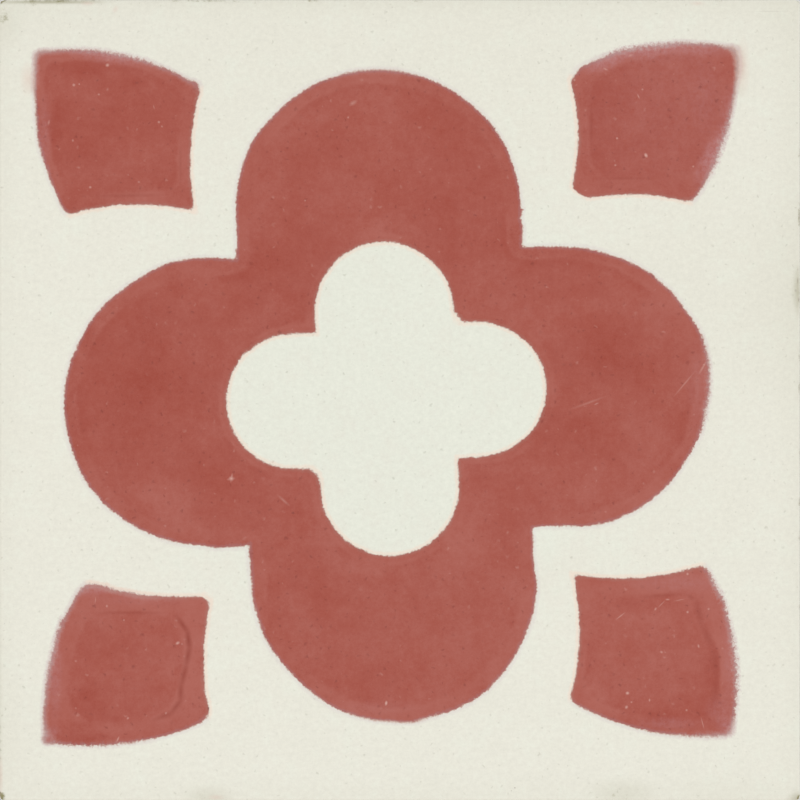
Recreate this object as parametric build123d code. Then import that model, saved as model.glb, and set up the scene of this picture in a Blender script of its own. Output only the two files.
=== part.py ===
from build123d import *
from build123d.topology import SkipClean
import os
from math import sqrt

# Octagon insert tile: a small square cement tile that fills the gap where four octagon tiles meet.
# It is pressed as one piece. A thin coloured coat is poured in fields through a divider grid, and the
# backing mortar behind it is pressed into the same body, so the fields are areas of one solid's face.
# All sizes are in millimetres. The origin is at the middle of the underside, +Z points out of the
# coloured face, and +Y points to the edge that lies at the top when the tile is looked down on.

# Where the tile sits: the square gap between four octagon tiles, less a joint on each side
octagon_across_flats = 200.0
joint_width = 1.5

# The pressed body
thickness = 16.0
coat_thickness = 3.5
flank_lean = 0.4  # each flank comes in by this much from the face to the underside
corner_radius = 0.6
arris_radius = 0.25

# The keyed underside: crossing grooves inside a plain rim
least_rim = 6.0
groove_pitch = 9.5
groove_width = 3.0
groove_depth = 1.0
groove_draft = 30.0  # degrees from upright, so that the ram leaves the fresh mortar cleanly

# The divider grid, laid by hand: how far its middle lies from the tile's
grid_shift_x = -1.4
grid_shift_y = 0.5

# The flower: a four-lobed ring round a four-lobed eye, each lobe a half circle on straight sides
flower_turn = 2.65  # degrees, counter-clockwise seen from above
lobe_reach_across = 18.5  # from the flower's middle to the middle of a side lobe's arc
lobe_reach_up = 18.8  # the same to the top and bottom lobes, because the grid isn't quite true
lobe_radius = 14.5
eye_reach_across = 9.5
eye_reach_up = 9.0
eye_radius = 7.05
eye_skew = 0.95  # degrees by which its side lobes are turned on, and its upright lobes back
eye_drop = 0.35  # how far its upright lobes lie too low

# The corner patches: four arcs each, bowed out towards the tile's edges and hollow towards the flower
patch_inset = 14.6  # from the tile's edges to the patch's middle
patch_outer = 8.9  # from the patch's middle to its outer corner, along both edges
patch_inner = 7.2  # the same to its inner corner
patch_side_back = 7.7  # to a side corner: back along the nearer edge
patch_side_out = 5.65  # and out towards that edge
patch_bow = 1.45
patch_hollow = 0.8

# How each patch's cell was bent out of place: how far across, how far up, and its turn in degrees
patch_slips = [
    (-0.15, 0.6, -2.45),  # top right
    (-0.5, -0.3, -0.65),  # top left
    (0.9, -0.7, -3.2),  # bottom left
    (0.15, 0.8, -0.45),  # bottom right
]

# The gap's side is the distance between opposite octagons' faces, across the diagonal of their pitch
octagon_pitch = octagon_across_flats + joint_width
gap_side = sqrt(2) * octagon_pitch - octagon_across_flats
face_side = gap_side - 2 * joint_width
underside_side = face_side - 2 * flank_lean
coat_base = thickness - coat_thickness


def pressed_body():
    """The plain body: flanks that lean in towards the underside, and softened corners and arris."""
    far = face_side - flank_lean
    block = Wedge(
        face_side,
        thickness,
        face_side,
        flank_lean,
        flank_lean,
        far,
        far,
        rotation=(-90, 0, 0),
        align=(Align.CENTER, Align.MIN, Align.CENTER),
    )
    block = Pos(Z=thickness) * block
    corners = block.edges().group_by(Axis.Z)[1]
    block = fillet(corners, corner_radius)
    arris = block.faces().sort_by(Axis.Z)[-1].edges()
    return fillet(arris, arris_radius)


def key_grooves():
    """The crossing grooves that the mortar bed grips, as the solid that the underside loses."""
    room = underside_side - 2 * least_rim - groove_width
    spaces = int(room // groove_pitch)
    length = spaces * groove_pitch + groove_width
    groove = extrude(Rectangle(length, groove_width), amount=groove_depth, taper=groove_draft)
    rows = [Pos(Y=(i - spaces / 2) * groove_pitch) * groove for i in range(spaces + 1)]
    columns = [Rot(Z=90) * row for row in rows]
    return Part() + rows + columns


def rounded_cross(reach_across, reach_up, radius, skew=0, drop=0):
    """Two crossing slots: four half-round lobes that meet in notches, square unless they are skewed."""
    across = SlotCenterToCenter(2 * reach_across, 2 * radius, rotation=skew)
    up = SlotCenterToCenter(2 * reach_up, 2 * radius, rotation=90 - skew)
    return across + Pos(Y=-drop) * up


def flower():
    """The ring between the lobes' outline and the eye's."""
    lobes = rounded_cross(lobe_reach_across, lobe_reach_up, lobe_radius)
    eye = rounded_cross(eye_reach_across, eye_reach_up, eye_radius, eye_skew, eye_drop)
    return Rot(Z=flower_turn) * (lobes - eye)


def patch_outline():
    """One patch about its own middle, turned as it is in the corner at +X and +Y."""
    outer = (patch_outer, patch_outer)
    left = (-patch_side_back, patch_side_out)
    inner = (-patch_inner, -patch_inner)
    right = (patch_side_out, -patch_side_back)
    outline = [
        SagittaArc(outer, left, -patch_bow),
        SagittaArc(left, inner, patch_hollow),
        SagittaArc(inner, right, patch_hollow),
        SagittaArc(right, outer, -patch_bow),
    ]
    return make_face(outline)


def corner_patches():
    """A patch in each corner, counter-clockwise from the top right one, each with its own slip."""
    middle = face_side / 2 - patch_inset
    patches = []
    for quarter, (across, up, turn) in enumerate(patch_slips):
        square_on = Rot(Z=90 * quarter) * Pos(middle, middle) * Rot(Z=turn) * patch_outline()
        patches.append(Pos(across, up) * square_on)
    return patches


def colour_fields():
    """Every red field on the face: the flower and the four patches."""
    grid = Pos(grid_shift_x, grid_shift_y, thickness)
    return [grid * field for field in (flower(), *corner_patches())]


def tile():
    """The whole tile as one solid, whose face is parted along the fields and flanks along the coat."""
    body = pressed_body() - key_grooves()
    coat_plane = Plane.XY.offset(coat_base)
    coat = split(body, bisect_by=coat_plane, keep=Keep.TOP)
    backing = split(body, bisect_by=coat_plane, keep=Keep.BOTTOM)
    fills = [extrude(field, amount=-coat_thickness) for field in colour_fields()]
    with SkipClean():
        pressed = backing + coat
        for fill in fills:
            pressed = pressed + fill
    return pressed


os.makedirs("parts", exist_ok=True)
pressed_tile = tile()
export_step(pressed_tile, "parts/tile.step")
print("face side", round(face_side, 2), "underside", round(underside_side, 2))
print("solids", len(pressed_tile.solids()), "faces", len(pressed_tile.faces()))
print("volume cm3", round(pressed_tile.volume / 1000, 2))
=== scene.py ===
"""Looks of an octagon insert tile: a small pressed cement tile, off-white with an inlaid red flower.

The tile is one piece. Its coloured coat was poured in fields through a divider grid and pressed onto a grey
mortar backing, so one closed mesh carries three finishes: the inlaid face, the flanks and the underside.
Lengths in the classes below are in millimetres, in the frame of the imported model, and the finished mesh is
scaled to metres. Marks that the real tile bears are placed by their pixels in the 800 x 800 picture.
"""

import logging
import math
from dataclasses import dataclass
from enum import Enum

import bmesh
import bpy
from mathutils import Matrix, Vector, noise

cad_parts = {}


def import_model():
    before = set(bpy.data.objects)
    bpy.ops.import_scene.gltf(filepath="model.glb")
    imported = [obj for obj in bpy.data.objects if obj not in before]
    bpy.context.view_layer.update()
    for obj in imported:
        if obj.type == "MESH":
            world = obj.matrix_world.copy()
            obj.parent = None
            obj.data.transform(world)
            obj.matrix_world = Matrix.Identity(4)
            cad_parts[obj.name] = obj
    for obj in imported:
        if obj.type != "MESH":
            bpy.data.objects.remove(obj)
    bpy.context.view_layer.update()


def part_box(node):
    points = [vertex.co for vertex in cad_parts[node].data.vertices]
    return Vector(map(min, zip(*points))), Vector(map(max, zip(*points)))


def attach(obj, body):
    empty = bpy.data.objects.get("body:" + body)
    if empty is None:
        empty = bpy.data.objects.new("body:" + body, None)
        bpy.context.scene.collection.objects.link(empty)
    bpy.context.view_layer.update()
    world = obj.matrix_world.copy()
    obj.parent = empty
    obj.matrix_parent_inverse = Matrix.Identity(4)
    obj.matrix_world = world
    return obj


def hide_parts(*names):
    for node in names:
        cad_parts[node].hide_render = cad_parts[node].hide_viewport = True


LOG = logging.getLogger("insert_tile")

MM = 0.001
PHOTO_SIDE = 800
PHOTO_TILE_MIDDLE = (399.5, 400.5)
FACE_WIDTH = 81.964
PIXELS_PER_MM = PHOTO_SIDE / FACE_WIDTH
NOISE_MIDDLE = 0.5

Colour = tuple[float, float, float, float]
Source = bpy.types.NodeSocket | float | tuple
Point = tuple[float, float]
Span = tuple[float, float]
Rows = tuple[tuple[float, ...], ...]


def photo_place(x: float, y: float) -> Point:
    """Turns a pixel of the picture into a place on the face.

    Args:
        x: Pixels from the picture's left edge.
        y: Pixels down from its top edge.

    Returns:
        The place in millimetres from the tile's middle.
    """
    across = (x - PHOTO_TILE_MIDDLE[0]) / PIXELS_PER_MM
    up = (PHOTO_TILE_MIDDLE[1] - y) / PIXELS_PER_MM
    return across, up


def pigment(red: float, green: float, blue: float) -> Colour:
    """Turns a colour as it is seen, in 8-bit levels, into the paint that shows it.

    Args:
        red: Red level, 0 to 255.
        green: Green level.
        blue: Blue level.

    Returns:
        The linear colour, less the white share that the surface's own gloss adds.
    """
    gloss_share = 0.03
    levels = [level / 255 for level in (red, green, blue)]
    linear = [v / 12.92 if v <= 0.04045 else ((v + 0.055) / 1.055) ** 2.4 for v in levels]
    paint = [max(0.0, (v - gloss_share) / (1 - gloss_share)) for v in linear]
    return (*paint, 1.0)


@dataclass(frozen=True)
class Clouds:
    """A noise's sizes: its largest clouds' width in millimetres, its finer layers, and each one's share."""

    size: float
    octaves: float
    keep: float


@dataclass(frozen=True)
class Specks:
    """How a finish's specks lie: in cells of this width, in this share of them, with about this radius."""

    pitch: float
    share: float
    radius: float

    def inputs(self, point: Source) -> dict:
        """Names what a group of specks takes at a place."""
        return {"Point": point, "Pitch": self.pitch, "Share": self.share, "Radius": self.radius}


class Graph:
    """Adds nodes to one tree, so that a finish reads as a row of short steps."""

    def __init__(self, tree: bpy.types.NodeTree) -> None:
        """Keeps the tree that the nodes go into."""
        self.tree = tree

    def node(self, kind: str, inputs: dict | None = None, **settings: object) -> bpy.types.Node:
        """Adds one node.

        Args:
            kind: The node's type.
            inputs: What feeds each input, by the input's name or number.
            **settings: The node's own options.

        Returns:
            The new node.
        """
        node = self.tree.nodes.new(kind)
        for name, value in settings.items():
            setattr(node, name, value)
        for key, source in (inputs or {}).items():
            self.feed(node.inputs[key], source)
        return node

    def feed(self, socket: bpy.types.NodeSocket, source: Source) -> None:
        """Links a socket to another, or gives it a constant.

        Args:
            socket: The input to feed.
            source: An output socket, or the constant.
        """
        if isinstance(source, bpy.types.NodeSocket):
            self.tree.links.new(source, socket)
        else:
            socket.default_value = source

    def math(self, operation: str, *sources: Source, clamp: bool = False) -> bpy.types.NodeSocket:
        """Adds a sum on numbers.

        Args:
            operation: The Math node's operation.
            *sources: Its operands.
            clamp: Whether the result is kept between 0 and 1.

        Returns:
            The result's socket.
        """
        inputs = dict(enumerate(sources))
        return self.node("ShaderNodeMath", inputs, operation=operation, use_clamp=clamp).outputs[0]

    def vector(self, operation: str, *sources: Source) -> bpy.types.NodeSocket:
        """Adds a sum on vectors.

        Args:
            operation: The Vector Math node's operation.
            *sources: Its operands; for SCALE the second is the factor.

        Returns:
            The vector, or the number for a length, distance or dot product.
        """
        inputs = dict(enumerate(sources))
        if operation == "SCALE":
            inputs = {0: sources[0], "Scale": sources[1]}
        node = self.node("ShaderNodeVectorMath", inputs, operation=operation)
        gives_number = operation in ("LENGTH", "DISTANCE", "DOT_PRODUCT")
        return node.outputs["Value" if gives_number else "Vector"]

    def ramp(
        self, value: Source, start: Source, end: Source, low: Source = 0.0, high: Source = 1.0
    ) -> bpy.types.NodeSocket:
        """Adds a smooth step.

        Args:
            value: What is read.
            start: The value at which the step begins.
            end: The value at which it ends.
            low: The result before the step.
            high: The result after it.

        Returns:
            The result's socket.
        """
        inputs = {"Value": value, "From Min": start, "From Max": end, "To Min": low, "To Max": high}
        node = self.node("ShaderNodeMapRange", inputs, interpolation_type="SMOOTHSTEP")
        return node.outputs["Result"]

    def band(self, value: Source, rise: Span, fall: Span) -> bpy.types.NodeSocket:
        """Adds a smooth band, which is 0 before its rise and after its fall, and 1 between them."""
        return self.math("MULTIPLY", self.ramp(value, *rise), self.ramp(value, *fall, 1.0, 0.0))

    def blend(self, share: Source, first: Source, second: Source) -> bpy.types.NodeSocket:
        """Adds a mix of two colours.

        Args:
            share: How much of the second colour.
            first: The first colour.
            second: The second colour.

        Returns:
            The mixed colour's socket.
        """
        node = self.node("ShaderNodeMix", {0: share, 6: first, 7: second}, data_type="RGBA")
        return node.outputs[2]

    def choose(self, share: Source, first: Source, second: Source) -> bpy.types.NodeSocket:
        """Adds a mix of two numbers.

        Args:
            share: How much of the second number.
            first: The first number.
            second: The second number.

        Returns:
            The mixed number's socket.
        """
        return self.node("ShaderNodeMix", {0: share, 2: first, 3: second}).outputs[0]

    def noise(self, point: Source, clouds: Clouds, flat: bool = True) -> bpy.types.NodeSocket:
        """Adds a cloudy noise about 0.

        Args:
            point: Where it is read, in millimetres.
            clouds: Its sizes.
            flat: Whether it varies only over the face, and not in depth.

        Returns:
            The noise's socket, about -0.5 to 0.5.
        """
        inputs = {"Vector": point, "Scale": 1 / clouds.size}
        inputs |= {"Detail": clouds.octaves, "Roughness": clouds.keep}
        node = self.node("ShaderNodeTexNoise", inputs, noise_dimensions="2D" if flat else "3D")
        return self.math("SUBTRACT", node.outputs[0], NOISE_MIDDLE)

    def bend(self, point: Source, size: float, reach: float) -> bpy.types.NodeSocket:
        """Shifts a place by a noise, so that specks lose their round outlines.

        Args:
            point: The place, in millimetres.
            size: The width of the noise's clouds.
            reach: How far apart it shifts two places at most, about.

        Returns:
            The shifted place's socket.
        """
        inputs = {"Vector": point, "Scale": 1 / size, "Detail": 0.0}
        node = self.node("ShaderNodeTexNoise", inputs, noise_dimensions="2D")
        shift = self.vector("SUBTRACT", node.outputs[1], (NOISE_MIDDLE,) * 3)
        return self.vector("ADD", point, self.vector("SCALE", shift, reach))

    def layer(self, name: str) -> bpy.types.NodeSocket:
        """Reads a number that was painted on the mesh."""
        return self.node("ShaderNodeAttribute", attribute_name=name).outputs["Fac"]

    def object_point(self) -> bpy.types.NodeSocket:
        """Reads the place on the piece, in millimetres."""
        place = self.node("ShaderNodeTexCoord").outputs["Object"]
        return self.vector("SCALE", place, 1 / MM)

    def relief(self, height: Source, depth: float, strength: float) -> bpy.types.NodeSocket:
        """Turns a height into the normals of a relief that is so many millimetres deep."""
        inputs = {"Height": height, "Distance": depth * MM, "Strength": strength}
        return self.node("ShaderNodeBump", inputs).outputs[0]


def new_material(name: str) -> tuple[bpy.types.Material, Graph, bpy.types.bpy_prop_collection]:
    """Makes a material that is built of nodes.

    Args:
        name: The material's name.

    Returns:
        The material, its graph, and the inputs of its shader.
    """
    material = bpy.data.materials.new(name)
    material.use_nodes = True
    return material, Graph(material.node_tree), material.node_tree.nodes["Principled BSDF"].inputs


def new_object(name: str, data: bpy.types.ID) -> bpy.types.Object:
    """Puts an object into the scene.

    Args:
        name: The object's name.
        data: Its mesh, lamp or camera.

    Returns:
        The object.
    """
    thing = bpy.data.objects.new(name, data)
    bpy.context.scene.collection.objects.link(thing)
    return thing


class Group:
    """A node group with named inputs and outputs, built once and placed in each material."""

    def __init__(self, name: str, inputs: dict[str, str], outputs: dict[str, str]) -> None:
        """Makes the empty group.

        Args:
            name: The group's name.
            inputs: Each input's name and whether it is a Float, Vector or Color.
            outputs: The same for its outputs.
        """
        self.tree = bpy.data.node_groups.new(name, "ShaderNodeTree")
        for way, sockets in (("INPUT", inputs), ("OUTPUT", outputs)):
            for socket, kind in sockets.items():
                kind = f"NodeSocket{kind}"
                self.tree.interface.new_socket(name=socket, in_out=way, socket_type=kind)
        self.graph = Graph(self.tree)
        self.given = self.tree.nodes.new("NodeGroupInput").outputs
        self.made = self.tree.nodes.new("NodeGroupOutput").inputs

    def give(self, name: str, source: Source) -> None:
        """Feeds one of the group's outputs."""
        self.graph.feed(self.made[name], source)

    def place(self, graph: Graph, inputs: dict) -> bpy.types.bpy_prop_collection:
        """Places the group in a material or in another group.

        Args:
            graph: Where it goes.
            inputs: What feeds its inputs.

        Returns:
            Its outputs.
        """
        return graph.node("ShaderNodeGroup", inputs, node_tree=self.tree).outputs


class Effects:
    """The node groups that the finishes share."""

    pool_ease: float = 3.0
    speck_swing: float = 0.8
    least_speck: float = 0.5

    def __init__(self) -> None:
        """Builds every group once."""
        self.slot = self.build_slot()
        self.side = self.build_side()
        self.patch = self.build_patch()
        self.flat_specks = self.build_specks("specks_on_the_face", "2D")
        self.deep_specks = self.build_specks("specks_in_the_body", "3D")
        self.cream = CreamCoat().build(self.flat_specks)

    def build_slot(self) -> Group:
        """A long opening with round ends, as a signed distance in millimetres, below 0 inside.

        Returns:
            The group.
        """
        inputs = {"Point": "Vector", "Middle": "Vector", "Turn": "Float", "Reach": "Float", "Radius": "Float"}
        group = Group("round_ended_slot", inputs, {"Distance": "Float"})
        graph, given = group.graph, group.given
        turn = {"Vector": given["Point"], "Center": given["Middle"], "Angle": given["Turn"]}
        turned = graph.node("ShaderNodeVectorRotate", turn, rotation_type="Z_AXIS").outputs[0]
        turned = graph.vector("SUBTRACT", turned, given["Middle"])
        parts = graph.node("ShaderNodeSeparateXYZ", {0: turned}).outputs
        past = graph.math("SUBTRACT", graph.math("ABSOLUTE", parts["X"]), given["Reach"])
        past = graph.math("MAXIMUM", past, 0.0)
        corner = graph.node("ShaderNodeCombineXYZ", {0: past, 1: parts["Y"]}).outputs[0]
        away = graph.vector("LENGTH", corner)
        group.give("Distance", graph.math("SUBTRACT", away, given["Radius"]))
        return group

    def build_side(self) -> Group:
        """One arc of a patch's outline, as a signed distance, below 0 on the patch's side.

        Returns:
            The group.
        """
        inputs = {"Point": "Vector", "Centre": "Vector", "Radius": "Float", "Sense": "Float"}
        group = Group("arc_side", inputs, {"Distance": "Float"})
        graph, given = group.graph, group.given
        away = graph.vector("DISTANCE", given["Point"], given["Centre"])
        away = graph.math("SUBTRACT", away, given["Radius"])
        group.give("Distance", graph.math("MULTIPLY", away, given["Sense"]))
        return group

    def build_patch(self) -> Group:
        """A patch of four arcs: its outline, and the pool inside its rim.

        Returns:
            The group.
        """
        sides = range(4)
        inputs = {"Point": "Vector", "Ease": "Float"}
        for i in sides:
            inputs |= {f"Centre {i}": "Vector", f"Radius {i}": "Float"}
            inputs |= {f"Sense {i}": "Float", f"Rim {i}": "Float"}
        group = Group("arc_patch", inputs, {"Outline": "Float", "Pool": "Float", "Facing": "Float"})
        graph, given = group.graph, group.given
        away = []
        for i in sides:
            fed = {name: given[f"{name} {i}"] for name in ("Centre", "Radius", "Sense")}
            away.append(self.side.place(graph, {"Point": given["Point"], **fed})[0])
        rimmed = [graph.math("ADD", away[i], given[f"Rim {i}"]) for i in sides]
        outward = graph.math("SMOOTH_MAX", away[0], away[3], given["Ease"])
        inward = graph.math("SMOOTH_MAX", away[1], away[2], given["Ease"])
        group.give("Outline", graph.math("SMOOTH_MAX", outward, inward, given["Ease"]))
        group.give("Facing", graph.math("SUBTRACT", outward, inward))
        pool_ease = graph.math("MULTIPLY", given["Ease"], self.pool_ease)
        outer_pool = graph.math("SMOOTH_MAX", rimmed[0], rimmed[3], pool_ease)
        inner_pool = graph.math("SMOOTH_MAX", rimmed[1], rimmed[2], pool_ease)
        group.give("Pool", graph.math("SMOOTH_MAX", outer_pool, inner_pool, pool_ease))
        return group

    def build_specks(self, name: str, dimensions: str) -> Group:
        """Scattered specks, one at most in each cell.

        Args:
            name: The group's name.
            dimensions: 2D on the flat face, 3D round the body.

        Returns:
            The group.
        """
        inputs = {"Point": "Vector", "Pitch": "Float", "Share": "Float", "Radius": "Float"}
        group = Group(name, inputs, {"Mask": "Float", "Disc": "Float", "Draw": "Float", "Chance": "Float"})
        graph, given = group.graph, group.given
        scale = graph.math("DIVIDE", 1.0, given["Pitch"])
        fed = {"Vector": given["Point"], "Scale": scale}
        cells = graph.node("ShaderNodeTexVoronoi", fed, voronoi_dimensions=dimensions)
        chance = graph.node("ShaderNodeSeparateColor", {0: cells.outputs["Color"]}).outputs
        away = graph.math("MULTIPLY", cells.outputs["Distance"], given["Pitch"])
        size = graph.math("MULTIPLY_ADD", chance[1], self.speck_swing, self.least_speck)
        radius = graph.math("MULTIPLY", given["Radius"], size)
        disc = graph.ramp(away, 0.0, radius, 1.0, 0.0)
        there = graph.math("LESS_THAN", chance[0], given["Share"])
        group.give("Mask", graph.math("MULTIPLY", disc, there))
        group.give("Disc", disc)
        group.give("Draw", chance[0])
        group.give("Chance", chance[2])
        return group


@dataclass(frozen=True)
class CreamCoat:
    """The off-white coat, on the face's ground and in the band that it leaves on the flanks."""

    warm: Colour = pigment(233.4, 231.3, 217.9)
    green: Colour = pigment(230.8, 232.2, 218.6)
    speck: Colour = pigment(150, 148, 128)
    clouds: Clouds = Clouds(4.0, 3.0, 0.95)
    grain: Clouds = Clouds(0.5, 2.0, 0.95)
    cast_swing: float = 3.0
    cloud_level: float = 0.085
    grain_level: float = 0.18
    specks: Specks = Specks(1.0, 0.65, 0.155)
    speck_bend: Span = (0.35, 0.3)
    speck_rarity: float = 1.6
    speck_strength: float = 0.3
    grain_rise: float = 0.5

    def build(self, scatter: Group) -> Group:
        """Builds the coat's group.

        Args:
            scatter: The group that scatters its specks.

        Returns:
            The group, which gives its colour and its height.
        """
        outputs = {"Color": "Color", "Height": "Float"}
        group = Group("cream_coat", {"Point": "Vector", "Greenness": "Float"}, outputs)
        graph, point = group.graph, group.given["Point"]
        clouds = graph.noise(point, self.clouds, flat=False)
        grain = graph.noise(point, self.grain, flat=False)
        cast = graph.math("MULTIPLY", clouds, self.cast_swing)
        cast = graph.math("ADD", group.given["Greenness"], cast, clamp=True)
        colour = graph.blend(cast, self.warm, self.green)
        level = graph.math("MULTIPLY", clouds, self.cloud_level)
        level = graph.math("MULTIPLY_ADD", grain, self.grain_level, level)
        colour = graph.vector("SCALE", colour, graph.math("ADD", level, 1.0))
        specks = scatter.place(graph, self.specks.inputs(graph.bend(point, *self.speck_bend)))
        darkness = graph.math("POWER", specks["Chance"], self.speck_rarity)
        darkness = graph.math("MULTIPLY", specks["Mask"], darkness)
        darkness = graph.math("MULTIPLY", darkness, self.speck_strength)
        group.give("Color", graph.blend(darkness, colour, self.speck))
        group.give("Height", graph.math("MULTIPLY", grain, self.grain_rise))
        return group


@dataclass(frozen=True)
class ArcSide:
    """One side of a patch: an arc from corner to corner that bows out, or in if the bow is negative."""

    start: Point
    end: Point
    bow: float
    rim: float

    def centre(self) -> tuple[float, float, float]:
        """Works out the arc's centre.

        Returns:
            The centre in millimetres.
        """
        chord = Vector(self.end) - Vector(self.start)
        middle = (Vector(self.end) + Vector(self.start)) / 2
        outward = Vector((-chord.y, chord.x)).normalized()
        centre = middle + outward * (self.bow - math.copysign(self.radius(), self.bow))
        return centre.x, centre.y, 0.0

    def radius(self) -> float:
        """Works out the arc's radius from its chord and bow."""
        half_chord = (Vector(self.end) - Vector(self.start)).length / 2
        return (half_chord**2 + self.bow**2) / (2 * abs(self.bow))

    def inputs(self, number: int) -> dict:
        """Names what the patch group takes for this side.

        Args:
            number: The side's number in the patch.

        Returns:
            The group's inputs.
        """
        sense = math.copysign(1.0, self.bow)
        sizes = {"Centre": self.centre(), "Radius": self.radius(), "Sense": sense, "Rim": self.rim}
        return {f"{name} {number}": value for name, value in sizes.items()}


@dataclass(frozen=True)
class CornerPatch:
    """A red patch in one corner, as it was measured on the tile.

    Its corners run clockwise from the one next to the tile's own corner. Each side starts at the corner of
    the same number.
    """

    corners: tuple[Point, Point, Point, Point]
    bows: tuple[float, float, float, float]
    rims: tuple[float, float, float, float]
    corner_ease: float

    def inputs(self) -> dict:
        """Names what the patch group takes.

        Returns:
            The group's inputs.
        """
        fed = {"Ease": self.corner_ease}
        for i, corner in enumerate(self.corners):
            side = ArcSide(corner, self.corners[(i + 1) % 4], self.bows[i], self.rims[i])
            fed |= side.inputs(i)
        return fed


@dataclass(frozen=True)
class Slot:
    """A long opening with round ends: one pair of the flower's lobes, turned counter-clockwise in degrees."""

    middle: Point
    turn: float
    reach: float
    radius: float

    def inputs(self) -> dict:
        """Names what the slot group takes.

        Returns:
            The group's inputs.
        """
        fed = {"Middle": (*self.middle, 0.0), "Turn": -math.radians(self.turn)}
        return {**fed, "Reach": self.reach, "Radius": self.radius}


@dataclass(frozen=True)
class Flower:
    """The red ring of four lobes round an off-white eye of four lobes."""

    side_lobes: Slot = Slot((-1.4, 0.53), 2.71, 18.48, 14.42)
    upright_lobes: Slot = Slot((-1.36, 0.48), 92.61, 18.81, 14.49)
    eye_side_lobes: Slot = Slot((-1.37, 0.52), 3.74, 9.49, 6.97)
    eye_upright_lobes: Slot = Slot((-1.3, 0.15), 91.82, 9.01, 7.15)
    outer_rim: float = 1.35
    eye_rim: float = 0.85
    notch_ease: float = 0.5


class Mark(Enum):
    """What a small mark on the face is."""

    LIME = "lime"
    CHAR = "char"
    # Dark fold lines in the red: partly the cement's own colour, partly painted shade of the folds' ridges.
    SEAM = "seam"
    ROSE = "rose"


class Layer(Enum):
    """What a soft stain changes: a number that is painted on the mesh's points."""

    TONE = "tone"
    BLOOM = "bloom"
    BLEED = "bleed"
    FRAY = "fray"
    CREEP = "creep"
    CAST = "cast"
    RIM = "rim"
    # Painted darkening towards the tile's edges and corners: partly dirt, partly painted shade.
    DARKENING = "dinge"
    GRIME = "grime"


@dataclass(frozen=True)
class Oval:
    """A mark on the face: an oval about a pixel of the picture, with half sizes in millimetres."""

    x: float
    y: float
    length: float
    width: float
    strength: float
    turn: float = 0.0

    @classmethod
    def of_pixels(
        cls, x: float, y: float, length: float, width: float, strength: float, turn: float = 0.0
    ) -> "Oval":
        """Makes an oval whose half sizes are given in pixels."""
        return cls(x, y, length / PIXELS_PER_MM, width / PIXELS_PER_MM, strength, turn)

    def off(self, place: Point) -> Point:
        """Works out how far a place lies from the oval's middle.

        Args:
            place: The place on the face.

        Returns:
            How far it lies along the oval, and beside it.
        """
        middle = photo_place(self.x, self.y)
        across, up = place[0] - middle[0], place[1] - middle[1]
        cos, sin = math.cos(math.radians(self.turn)), math.sin(math.radians(self.turn))
        return across * cos + up * sin, up * cos - across * sin

    def paint(self, place: Point) -> tuple[float, float, float]:
        """Gives where a place lies in the oval, whose rim is 1 from its middle, and the strength."""
        along, beside = self.off(place)
        return along / self.length, beside / self.width, self.strength

    def touches(self, place: Point, spare: float) -> bool:
        """Tells whether the oval reaches to a place, or to within the spare length of it."""
        along, beside = self.off(place)
        return abs(along) < self.length + spare and abs(beside) < self.width + spare

    def share(self, place: Point) -> float:
        """Works out how much of a soft stain lies at a place.

        Args:
            place: The place on the face.

        Returns:
            The stain's strength in its middle, less towards its rim, and 0 outside.
        """
        along, beside, strength = self.paint(place)
        inside = max(0.0, 1 - along * along - beside * beside)
        return strength * inside * inside

    def near(self, rows: dict[int, list]) -> list:
        """Picks what lies about as far up the face as the oval does.

        Args:
            rows: Things on the face, by the whole millimetre of their height up it.

        Returns:
            The things in the rows that it reaches, and in one more on either side.
        """
        middle, reach = photo_place(self.x, self.y)[1], max(self.length, self.width)
        reached = range(round(middle - reach) - 1, round(middle + reach) + 2)
        return [thing for row in reached for thing in rows.get(row, ())]


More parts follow.
